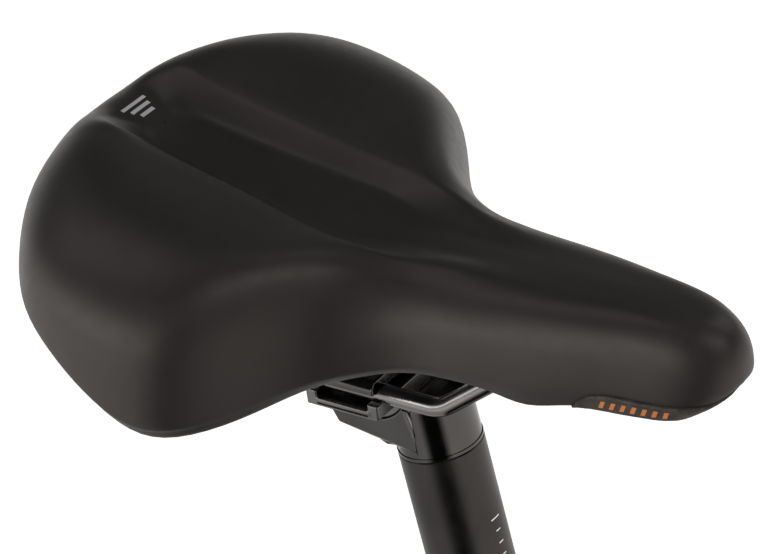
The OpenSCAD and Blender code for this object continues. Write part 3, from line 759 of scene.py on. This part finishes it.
# Middle of the bumper's round end, and its straight sides, as distances from the saddle's rear
BUMPER_CENTRE = 240
BUMPER_SIDE = [216.4 + 0.8 * k for k in range(9)] + [224 + 2 * k for k in range(9)]
# Upper edge of the bumper: distance from the rear edge of the saddle, then height over its datum
BUMPER_EDGE = ((216, 9.5), (218.1, 13.8), (222.2, 17.8), (228.5, 19.8), (236.8, 20.2),
               (250.3, 21.0), (261.2, 22.8), (265.4, 24.8), (268, 25.0))
# Points down the side, as shares of its height with shares of the wall that the bumper is proud
BUMPER_WALL = ((0.0, 0.0), (0.012, 0.7), (0.05, 1.0), (0.2, 1.0), (0.4, 1.0), (0.6, 1.0),
               (0.8, 1.0), (0.93, 1.0))
# Points under the hem, in millimetres inward from it, with the same shares
BUMPER_UNDER = ((0.5, 1.0), (1.5, 1.0), (3.0, 1.0), (4.5, 1.0), (6.0, 0.2))
# How deep the inner side of the bumper lies in the skin, as a share of the wall
BUMPER_INNER = 0.4
# Search for the lower edge of the skin, in millimetres: highest start, step, the height over
# the edge at which the flank is measured, and the least height of the bumper
SEARCH_TOP, SEARCH_STEP, SEARCH_FLANK, LEAST_HEIGHT = 24.0, 0.2, 4, 0.8
# Upward part of the normal where the skin counts as turned under
TURNED_UNDER = -0.8
# Rays onto the skin, in metres: how far out and how far below they start, the nearest that a
# flank may be, and how far over its edge a hit from below is no longer the hem
RAY_START, RAY_BELOW, NEAREST_FLANK, HOLLOW_UNDER = 0.1, 0.02, 0.004, 0.002


def upper_edge(x):
    """Height of the bumper's upper edge at a distance from the rear edge, in millimetres."""
    for (x0, z0), (x1, z1) in zip(BUMPER_EDGE, BUMPER_EDGE[1:]):
        if x <= x1 or x1 == BUMPER_EDGE[-1][0]:
            share = min(max((x - x0) / (x1 - x0), 0.0), 1.0)
            return z0 + (z1 - z0) * share


class SADDLE_OT_bumper(bpy.types.Operator):
    """Flecked bumper round the underside of the nose, with a row of plain printed bars"""
    bl_idname = "saddle.bumper"
    bl_label = "Nose bumper"

    def execute(self, context):
        graph = context.evaluated_depsgraph_get()
        skin = BVHTree.FromObject(bpy.data.objects["seat_cover"], graph)
        bm = bmesh.new()
        loops = [[bm.verts.new(point) for point in self.ring(skin, centre, turn)]
                 for centre, turn in self.places()]
        for a, b in zip(loops, loops[1:]):
            for k in range(len(a)):
                bm.faces.new((a[k], a[k - 1], b[k - 1], b[k]))
        for loop, order in ((loops[0], 1), (loops[-1], -1)):
            for k in range(len(loop) // 2 - 1):
                corners = (loop[k], loop[k + 1], loop[-2 - k], loop[-1 - k])
                bm.faces.new(corners[::order])
        bmesh.ops.recalc_face_normals(bm, faces=bm.faces)
        piece = make_object("bumper_trim", bm, cached(bumper_material), sharp=50.0)
        seat_in(piece, "seat", "bumper_brown", "nose_bumper")
        return {"FINISHED"}

    @staticmethod
    def places():
        """Centres on the middle line and turns from it, along one side, round the tip and back."""
        return ([(x, -90.0) for x in BUMPER_SIDE]
                + [(BUMPER_CENTRE, float(turn)) for turn in range(-84, 85, 6)]
                + [(x, 90.0) for x in reversed(BUMPER_SIDE)])

    @staticmethod
    def ring(skin, centre, turn):
        """Closed section of the bumper in one upright plane, laid on the skin."""
        out = Vector((math.cos(math.radians(turn)), math.sin(math.radians(turn)), 0.0))
        wall = look().bumper.wall
        start = on_saddle(centre, 0, 0)

        def side_hit(z):
            """Point and normal of the skin's flank at a height, or nothing below its edge."""
            far = start + out * RAY_START + UPWARD * z * MM
            place, normal, _, _ = skin.ray_cast(far, -out)
            if place is not None and (place - start).dot(out) > NEAREST_FLANK:
                return place, normal

        low = SEARCH_TOP
        while low > 0:
            hit = side_hit(low - SEARCH_STEP)
            if not hit or hit[1].z <= TURNED_UNDER:
                break
            low -= SEARCH_STEP
        reach = side_hit(min(low + SEARCH_FLANK, SEARCH_TOP))[0].x - SADDLE.x
        top = max(upper_edge(reach / MM), low + LEAST_HEIGHT)
        hits = [(*side_hit(top - drop * (top - low)), rise) for drop, rise in BUMPER_WALL]
        edge = side_hit(low)[0]
        for inward, rise in BUMPER_UNDER:
            below = Vector((edge.x, edge.y, SADDLE.z - RAY_BELOW)) - out * inward * MM
            place, normal, _, _ = skin.ray_cast(below, UPWARD)
            if place is None or place.z > edge.z + HOLLOW_UNDER:
                place, normal = hits[-1][0] - out * inward * MM * 0.5, -UPWARD
            hits.append((place, normal, rise))
        outer = [place + normal * wall * rise for place, normal, rise in hits]
        inner = [place - normal * wall * BUMPER_INNER for place, normal, _ in hits]
        return outer + inner[::-1]


class SADDLE_OT_shell(bpy.types.Operator):
    """Moulded shell with its stiffening, and the fittings under it"""
    bl_idname = "saddle.shell"
    bl_label = "Shell and fittings"

    def execute(self, context):
        plastic = cached(moulding_material)
        shell = grid_form("shell_moulding", "shell", plastic, 2)
        seat_in(shell, "seat", "hard_plastic", "shell")
        for node in ("nose_plate", "nose_socket", "buffer_seats"):
            finish_solid(node, "moulding", plastic, "seat", "hard_plastic",
                         look().plastic.edge_bevel * 0.4, 2)
        return {"FINISHED"}


RAIL_BEND = 14 * MM
RAIL_RADIUS = 3.5 * MM
# One rail in the saddle's frame, in millimetres: rear end and rise, middle of the clamped
# stretch with the ends of that stretch along it, and nose rise up to the block
RAIL_REAR = ((29.5, 26, -2.5), (56, 26, -2.5))
RAIL_CLAMPED = Vector((126, 22, -20))
RAIL_RUNS = (-38, 37)
RAIL_NOSE = ((185, 15, 5), (205, 7.5, 12.5), (222.5, 7.5, 14))


def rail_path(side):
    """Points of the rail on one side: 1 for the left, -1 for the right."""
    clamped = [RAIL_CLAMPED + RAIL_ALONG * run for run in RAIL_RUNS]
    return [on_saddle(x, y * side, z) for x, y, z in (*RAIL_REAR, *clamped, *RAIL_NOSE)]


class SADDLE_OT_rails(bpy.types.Operator):
    """The two bent steel rails, with their printed position ticks"""
    bl_idname = "saddle.rails"
    bl_label = "Rails"

    def execute(self, context):
        for side, node in ((1, "rail_left"), (-1, "rail_right")):
            bm = sweep(rail_path(side), RAIL_RADIUS, RAIL_BEND)
            piece = make_object(node + "_rod", bm, cached(rail_material))
            seat_in(piece, "rails", "rail_black", node)
        return {"FINISHED"}


class SADDLE_OT_carriers(bpy.types.Operator):
    """Nose block and rear bridge that hold the ends of the rails"""
    bl_idname = "saddle.carriers"
    bl_label = "Block and bridge"

    def execute(self, context):
        for node in ("nose_block", "rear_bridge"):
            finish_solid(node, "moulding", cached(moulding_material), "rails", "hard_plastic",
                         look().plastic.edge_bevel, angle=40.0)
        return {"FINISHED"}


# Buffer in millimetres: place of its foot on the left, outer, groove and bore radii, height,
# broken edge, and how far the grooves' edges step in
BUFFER_FOOT = (38, 36, 3)
BUFFER_OUTER, BUFFER_WAIST, BUFFER_BORE, BUFFER_HEIGHT = 14.0, 10.5, 3.0, 18.0
BUFFER_EDGE, BUFFER_STEP = 0.6, 0.4
# Grooves: where they start and how wide they are, as shares of the height, the steps and the
# fullness of their curve
BUFFER_GROOVES, GROOVE_WIDTH, GROOVE_STEPS, GROOVE_FULLNESS = (0.2, 0.6), 0.2, 8, 0.8


class SADDLE_OT_buffers(bpy.types.Operator):
    """Ribbed rubber buffers between the bridge and the shell"""
    bl_idname = "saddle.buffers"
    bl_label = "Buffers"

    def execute(self, context):
        profile = [(r * MM, z * MM) for r, z in self.profile()]
        x, y, z = BUFFER_FOOT
        for side, node in ((1, "buffer_left"), (-1, "buffer_right")):
            foot = on_saddle(x, y * side, z)
            bm = lathe(profile, foot, UPWARD, steps=72)
            piece = make_object(node + "_rubber", bm, cached(buffer_material), sharp=50.0)
            seat_in(piece, "rails", "buffer_grey", node)
            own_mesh(piece)
        return {"FINISHED"}

    @staticmethod
    def profile():
        """Radius and height of the points of half a section, in millimetres."""
        outer, edge, high = BUFFER_OUTER, BUFFER_EDGE, BUFFER_HEIGHT
        lip = outer - BUFFER_STEP
        points = [(BUFFER_BORE, 0.0), (outer - edge, 0.0), (outer, edge)]
        for low in BUFFER_GROOVES:
            points += [(outer, low * high - edge), (lip, low * high)]
            for k in range(1, GROOVE_STEPS):
                depth = math.sin(math.pi * k / GROOVE_STEPS) ** GROOVE_FULLNESS
                points.append((lip - (lip - BUFFER_WAIST) * depth,
                               (low + GROOVE_WIDTH * k / GROOVE_STEPS) * high))
            end = (low + GROOVE_WIDTH) * high
            points += [(lip, end), (outer, end + edge)]
        return points + [(outer, high - edge), (outer - edge, high), (BUFFER_BORE, high)]


class SADDLE_OT_clamp(bpy.types.Operator):
    """Lower cradle and upper clamp plate"""
    bl_idname = "saddle.clamp"
    bl_label = "Rail clamp"

    def execute(self, context):
        bevel = look().metal.edge_bevel * 2
        for node, material, body, slot in (
                ("lower_cradle", cradle_material, "cradle", "cradle_grey"),
                ("upper_clamp", head_material, "clamp_top", "head_black")):
            finish_solid(node, "casting", cached(material), body, slot, bevel, 4)
        return {"FINISHED"}


# Clamp bolt's thread in metres: start and end over the tilt axis, core and crest radii, how far
# the ridge is sunk into the core, and the chamfer of the end
THREAD_START, THREAD_END, THREAD_CORE, THREAD_CREST = -3.0 * MM, 13.0 * MM, 3.4 * MM, 3.95 * MM
THREAD_SUNK, THREAD_CHAMFER = 0.1 * MM, 0.4 * MM
# Ridge in pitches: half its width at its foot and its crest, its first place, and how much of
# the core it leaves plain
RIDGE_FOOT, RIDGE_CREST, RIDGE_FIRST, RIDGE_SPARE = 0.42, 0.07, 0.9, 2.0
STEPS_PER_TURN = 32


class SADDLE_OT_fasteners(bpy.types.Operator):
    """Clamp bolt with its thread, nut, washer, pins and screws"""
    bl_idname = "saddle.fasteners"
    bl_label = "Fasteners"

    def execute(self, context):
        steel = cached(steel_material, "zinc_steel", (0.42, 0.42, 0.44), 0.32)
        black = cached(steel_material, "black_oxide_steel", (0.055, 0.055, 0.058), 0.38)
        bevel = look().metal.edge_bevel
        finish_solid("bolt_washer", "metal", steel, "cradle", "fastener_steel", bevel * 0.6, 2)
        finish_solid("clamp_bolt", "metal", black, "bolt", "bolt_black", bevel * 0.25, 2,
                     shape=self.cut_thread)
        for node, body in (("clamp_nut", "clamp_top"), ("nose_pin", "seat"),
                           ("buffer_screws", "rails"), ("socket_screws", "seat")):
            finish_solid(node, "metal", steel, body, "fastener_steel", bevel * 0.6, 2)
        return {"FINISHED"}

    def cut_thread(self, bm):
        """Cuts the plain end off the bolt and puts the threaded one in its place."""
        bmesh.ops.bisect_plane(bm, geom=bm.verts[:] + bm.edges[:] + bm.faces[:], clear_outer=True,
                               plane_co=TILT_AXIS + RAIL_UP * THREAD_START, plane_no=RAIL_UP)
        bmesh.ops.holes_fill(bm, edges=[edge for edge in bm.edges if edge.is_boundary])
        merge_into(bm, self.thread())

    @staticmethod
    def thread():
        """Threaded end of the clamp bolt: a core and one helical ridge."""
        pitch = look().metal.thread_pitch
        bm = lathe([(0.0, THREAD_START), (THREAD_CORE, THREAD_START),
                    (THREAD_CORE, THREAD_END - THREAD_CHAMFER),
                    (THREAD_CORE - THREAD_CHAMFER, THREAD_END), (0.0, THREAD_END)],
                   (0, 0, 0), UPWARD, steps=48)
        foot = THREAD_CORE - THREAD_SUNK
        section = ((foot, -RIDGE_FOOT), (THREAD_CREST, -RIDGE_CREST),
                   (THREAD_CREST, RIDGE_CREST), (foot, RIDGE_FOOT))
        verts = [bm.verts.new((r, 0.0, THREAD_START + pitch * (RIDGE_FIRST + share)))
                 for r, share in section]
        edges = [bm.edges.new((verts[k - 1], verts[k])) for k in range(4)]
        turns = int((THREAD_END - THREAD_START - RIDGE_SPARE * pitch) / pitch)
        last = bmesh.ops.spin(bm, geom=verts + edges, cent=(0, 0, 0), axis=UPWARD,
                              angle=turns * FULL_TURN, dvec=(0, 0, pitch / STEPS_PER_TURN),
                              steps=turns * STEPS_PER_TURN)["geom_last"]
        bm.faces.new(verts)
        bm.faces.new(only(bmesh.types.BMVert, last)[::-1])
        bmesh.ops.recalc_face_normals(bm, faces=bm.faces)
        bm.transform(frame_along(TILT_AXIS, RAIL_UP))
        return bm


# Post tube in metres
POST_RADIUS, POST_BORE, POST_LENGTH, POST_CHAMFER = 15.8 * MM, 13.5 * MM, 0.300, 0.3 * MM
# Round head of the post: its radius, and how far off it a facet's and any vertex may lie
HEAD_RADIUS, FACET_OFF, VERTEX_OFF = 15.45 * MM, 0.05 * MM, 0.12 * MM
# Edges of the head that count as long, and the least distance from the middle of the belly's
LONG_EDGE, BELLY_ASIDE = 3 * MM, 8.5 * MM
# Where the belly's edges end ahead and above, and between which bends in degrees they lie
BELLY_FRONT, BELLY_TOP, BELLY_BEND = -1 * MM, 5 * MM, (25, 60)


class SADDLE_OT_post(bpy.types.Operator):
    """Post tube with its printed ticks, its head and its lower plug"""
    bl_idname = "saddle.post"
    bl_label = "Seatpost"

    def execute(self, context):
        outer, chamfer, foot = POST_RADIUS, POST_CHAMFER, -POST_LENGTH
        bm = lathe([(POST_BORE, foot), (outer - chamfer, foot), (outer, foot + chamfer),
                    (outer, -chamfer), (outer - chamfer, 0.0), (POST_BORE, 0.0)],
                   POST_TOP, POST_UP, steps=128)
        tube = make_object("post_tube_drawn", bm, cached(post_material))
        seat_in(tube, "post", "post_black", "post_tube")
        finish_solid("post_head", "forging", cached(head_material), "post", "head_black",
                     look().metal.edge_bevel * 1.5, shape=self.shape_head)
        finish_solid("post_plug", "moulding", cached(moulding_material), "post", "hard_plastic",
                     look().plastic.edge_bevel * 0.6)
        return {"FINISHED"}

    def shape_head(self, bm):
        """Rounds the head and the two edges of its belly."""
        self.round_out(bm)
        belly = [edge for edge in bm.edges
                 if len(edge.link_faces) == 2 and edge.calc_length() > LONG_EDGE
                 and all(abs(v.co.y) > BELLY_ASIDE and v.co.z < BELLY_TOP and v.co.x < BELLY_FRONT
                         for v in edge.verts)
                 and BELLY_BEND[0] < math.degrees(edge.calc_face_angle()) < BELLY_BEND[1]]
        bmesh.ops.bevel(bm, geom=belly, offset=look().metal.belly_round, segments=5, profile=0.5,
                        affect="EDGES", material=-1, clamp_overlap=True)

    @staticmethod
    def round_out(bm):
        """Divides the long facets of the round head and lays them on its radius."""

        def spoke(vertex):
            """The vertex's place, square to the axis of the post."""
            return vertex.co - POST_UP * vertex.co.dot(POST_UP)

        facets = [face for face in bm.faces
                  if all(abs(spoke(v).length - HEAD_RADIUS) < FACET_OFF for v in face.verts)]
        long_edges = {edge for face in facets for edge in face.edges
                      if edge.calc_length() > LONG_EDGE}
        bmesh.ops.subdivide_edges(bm, edges=list(long_edges), cuts=6, use_grid_fill=True)
        for vertex in bm.verts:
            gap = spoke(vertex).length - HEAD_RADIUS
            if abs(gap) < VERTEX_OFF and vertex.co.z > 0:
                vertex.co -= spoke(vertex).normalized() * gap


# ---------------------------------------------------------------- stage

# Brightness of the surroundings from the horizon up, against the sine of the elevation
HORIZON = ((0.0, 1.0), (0.06, 0.74), (0.12, 0.54), (0.22, 0.24), (0.32, 0.07), (1.0, 0.05))
# Slight warmth of that brightness, as its red, green and blue parts
WARMTH = (1.02, 1.0, 0.97)
# Dark wedge on the side of the camera: half its width, half that of its full darkness, and its
# greys in the sky and on the floor
FLAG_REACH, FLAG_CORE = math.radians(32), math.radians(16)
FLAG_SKY, FLAG_FLOOR = (0.05, 0.05, 0.05), (0.03, 0.03, 0.03)
# Floor in metres: half its size, and how far it lies under the object
FLOOR_SIZE, FLOOR_GAP = 6.0, 0.0005
# Glow of the floor under the object and far from it, with the distances between which it grows
FLOOR_NEAR, FLOOR_FAR, GLOW_START, GLOW_END = 0.3, 1.0, 0.1, 0.7
# Glow that the camera sees, which leaves room for the object's shadow
FLOOR_SHOWN = 0.8
# Lamps: name, azimuth and elevation in degrees, distance, width and height in metres, watts
LAMPS = (("left_strip", -50.0, 8.0, 1.4, 0.8, 0.8, 2.0),
         ("front_fill", -12.0, 12.0, 1.5, 1.4, 0.5, 6.5),
         ("nose_fill", 75.0, 45.0, 1.5, 0.8, 0.8, 4.0),
         ("far_fill", 160.0, 45.0, 1.5, 1.0, 1.0, 3.5),
         ("rear_fill", -71.0, 60.0, 1.5, 1.0, 1.0, 2.8))
LAMP_TARGET = on_saddle(134, 0, 20)
CAMERA_TARGET = on_saddle(133, 0, 30)
CAMERA_SHIFT = (-0.01897, -0.0422)


def place_towards(name, data, target, back, distance):
    """Links a lamp or camera that stands back from a target and looks at it."""
    item = prepared(bpy.data.objects.new(name, data), location=target + back * distance,
                    rotation_mode="QUATERNION",
                    rotation_quaternion=(-back).to_track_quat("-Z", "Y"))
    bpy.context.scene.collection.objects.link(item)
    return item


class SADDLE_OT_stage(bpy.types.Operator):
    """Pale floor, soft lights, white surroundings and the camera"""
    bl_idname = "saddle.stage"
    bl_label = "Studio"

    def execute(self, context):
        context.scene.view_settings.view_transform = "Standard"
        self.surroundings(context.scene)
        self.floor()
        self.lights()
        self.camera(context.scene)
        return {"FINISHED"}

    def surroundings(self, scene):
        """White to the camera; otherwise a bright low horizon, dark overhead and on its side."""
        world = bpy.data.worlds.new("studio")
        scene.world = world
        world.use_nodes = True
        graph = Graph(world.node_tree)
        place = graph.node("ShaderNodeTexCoord").outputs["Generated"]
        fade = graph.node("ShaderNodeValToRGB",
                          graph.node("ShaderNodeSeparateXYZ", place).outputs["Z"])
        stops = fade.color_ramp.elements
        for position, _ in HORIZON[1:-1]:
            stops.new(position)
        for stop, (position, grey) in zip(stops, HORIZON):
            stop.position = position
            stop.color = (*(grey * part for part in WARMTH), 1)
        sky = graph.mix(self.flag(graph, place), fade.outputs["Color"], FLAG_SKY)
        graph.fill(graph.of_type("BACKGROUND"), Strength=1.0,
                   Color=graph.mix(graph.camera_ray(), sky, (1, 1, 1)))

    @staticmethod
    def flag(graph, place):
        """Mask of the dark wedge on the camera's side: 1 inside it, 0 outside, softly."""
        level = graph.vector("NORMALIZE", graph.vector("MULTIPLY", place, (1, 1, 0)))
        facing = graph.vector("DOT_PRODUCT", level, direction_at(look().studio.azimuth, 0.0))
        return graph.ramp(facing, math.cos(FLAG_REACH), math.cos(FLAG_CORE))

    def floor(self):
        """Pale floor that glows like a sweep lit from below, clear when seen from below."""
        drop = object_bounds()[0].z
        bm = bmesh.new()
        bmesh.ops.create_grid(bm, x_segments=2, y_segments=2, size=FLOOR_SIZE)
        bmesh.ops.translate(bm, verts=bm.verts, vec=(0, 0, drop - FLOOR_GAP))
        recipe = Recipe("pale_floor", (0.8, 0.8, 0.8), 0.8)
        camera = recipe.camera_ray()
        rise = recipe.ramp(recipe.vector("LENGTH", recipe.place), abs(drop) + GLOW_START,
                           abs(drop) + GLOW_END, FLOOR_NEAR, FLOOR_FAR)
        strength = recipe.either(rise, recipe.math("MULTIPLY", camera, FLOOR_SHOWN))
        glow = recipe.node("ShaderNodeEmission", (1, 0.98, 0.96), strength)
        lit = recipe.node("ShaderNodeAddShader", recipe.shader.outputs[0], glow.outputs[0])
        card = recipe.node("ShaderNodeBsdfDiffuse", FLAG_FLOOR)
        dark = recipe.math("MULTIPLY", self.flag(recipe, recipe.place),
                           recipe.math("SUBTRACT", 1.0, camera))
        shown = recipe.node("ShaderNodeMixShader", dark, lit.outputs[0], card.outputs[0])
        below = recipe.node("ShaderNodeNewGeometry").outputs["Backfacing"]
        clear = recipe.node("ShaderNodeBsdfTransparent")
        surface = recipe.node("ShaderNodeMixShader", below, shown.outputs[0], clear.outputs[0])
        recipe.fill(recipe.of_type("OUTPUT_MATERIAL"), Surface=surface.outputs[0])
        make_object("studio_floor", bm, recipe.material)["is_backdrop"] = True

    def lights(self):
        """Soft lamps round the saddle."""
        for name, azimuth, elevation, distance, width, height, power in LAMPS:
            lamp = prepared(bpy.data.lights.new(name, "AREA"), shape="RECTANGLE", size=width,
                            size_y=height, energy=power)
            back = direction_at(math.radians(azimuth), math.radians(elevation))
            place_towards(name, lamp, LAMP_TARGET, back, distance)

    def camera(self, scene):
        """Camera with a long lens at the studio's viewing angle."""
        s = look().studio
        across, up = CAMERA_SHIFT
        data = prepared(bpy.data.cameras.new("camera"), sensor_width=36.0, lens=s.lens,
                        shift_x=across, shift_y=up, clip_start=0.01, clip_end=50.0)
        scene.camera = place_towards("camera", data, CAMERA_TARGET,
                                     direction_at(s.azimuth, s.elevation), s.camera_distance)


class SADDLE_PT_panel(bpy.types.Panel):
    """Pieces of the saddle, in the order in which they are made"""
    bl_idname = "SADDLE_PT_panel"
    bl_label = "Comfort Saddle"
    bl_space_type = "VIEW_3D"
    bl_region_type = "UI"
    bl_category = "Saddle"

    def draw(self, context):
        layout = self.layout
        for operator in OPERATORS:
            layout.operator(operator.bl_idname)
        settings = context.scene.saddle_look
        for group in ("cover", "bumper", "metal", "plastic", "studio"):
            box = layout.box()
            box.label(text=group.capitalize())
            values = getattr(settings, group)
            for key in values.__annotations__:
                box.prop(values, key)


SETTINGS = (CoverSettings, BumperSettings, MetalSettings, PlasticSettings, StudioSettings,
            SaddleLook)
OPERATORS = (SADDLE_OT_cover, SADDLE_OT_foam, SADDLE_OT_bumper, SADDLE_OT_shell,
             SADDLE_OT_rails, SADDLE_OT_carriers, SADDLE_OT_buffers, SADDLE_OT_clamp,
             SADDLE_OT_fasteners, SADDLE_OT_post, SADDLE_OT_stage)
CLASSES = SETTINGS + OPERATORS + (SADDLE_PT_panel,)


def register():
    for item in CLASSES:
        bpy.utils.register_class(item)
    bpy.types.Scene.saddle_look = bpy.props.PointerProperty(type=SaddleLook)


def unregister():
    del bpy.types.Scene.saddle_look
    for item in reversed(CLASSES):
        bpy.utils.unregister_class(item)


def main():
    register()
    for operator in OPERATORS:
        group, name = operator.bl_idname.split(".")
        getattr(getattr(bpy.ops, group), name)()


if __name__ == "__main__":
    main()
